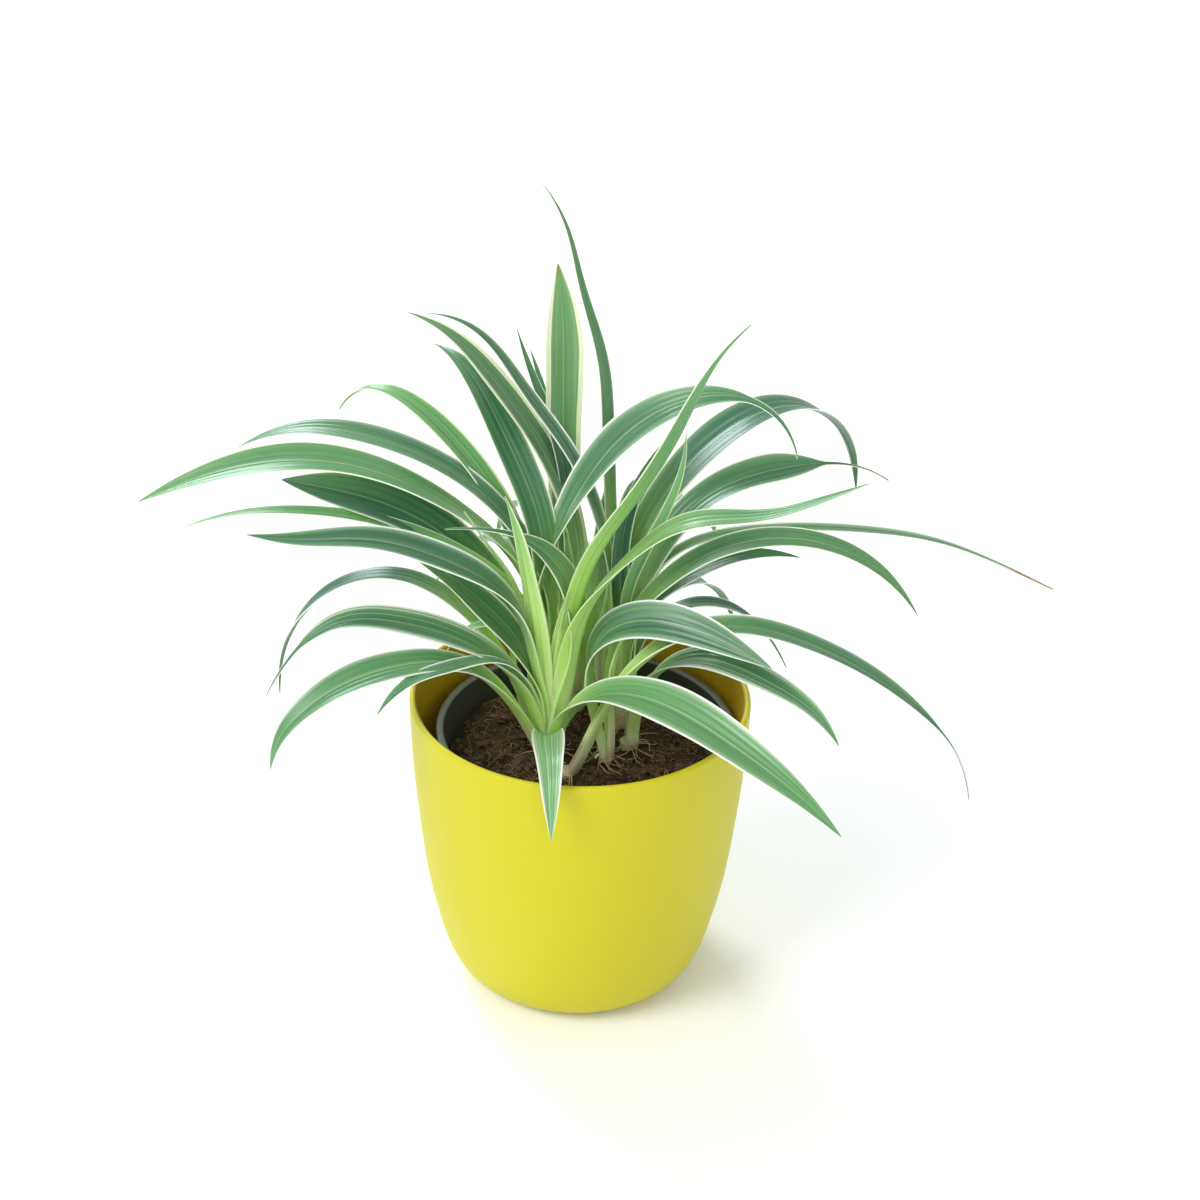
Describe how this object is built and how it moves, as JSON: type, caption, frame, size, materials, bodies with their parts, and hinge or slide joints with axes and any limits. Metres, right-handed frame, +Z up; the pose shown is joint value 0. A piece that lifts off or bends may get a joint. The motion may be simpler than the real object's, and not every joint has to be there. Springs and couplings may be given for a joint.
{
  "type": "potted spider plant",
  "caption": "Variegated spider plant: a clump of arching strap leaves growing in coir mix in a dark nursery pot, standing inside a yellow rounded cover pot.",
  "frame": {"origin": "centre of the cover pot's flat base, on the surface it stands on", "axes": "+Z up; the pictured side faces -Y, and the longest leaf points to +X"},
  "size_m": [0.3581, 0.2341, 0.3234],
  "materials": {
    "cover_plastic": "smooth satin moulded plastic, bright lemon yellow",
    "nursery_plastic": "thin dull dark grey plastic",
    "coir_mix": "crumbly dark brown coir with bark bits and fibres",
    "leaf": "waxy mid-green leaf with cream edges and pale stripes"
  },
  "bodies": {
    "root": {"cover_pot": "cover_plastic", "nursery_pot": "nursery_plastic", "soil": "coir_mix", "shoot_front": "leaf", "shoot_middle": "leaf", "shoot_right": "leaf", "shoot_far_right": "leaf", "shoot_back": "leaf", "shoot_back_right": "leaf", "shoot_far_left": "leaf", "shoot_rear": "leaf"}
  },
  "joints": []
}
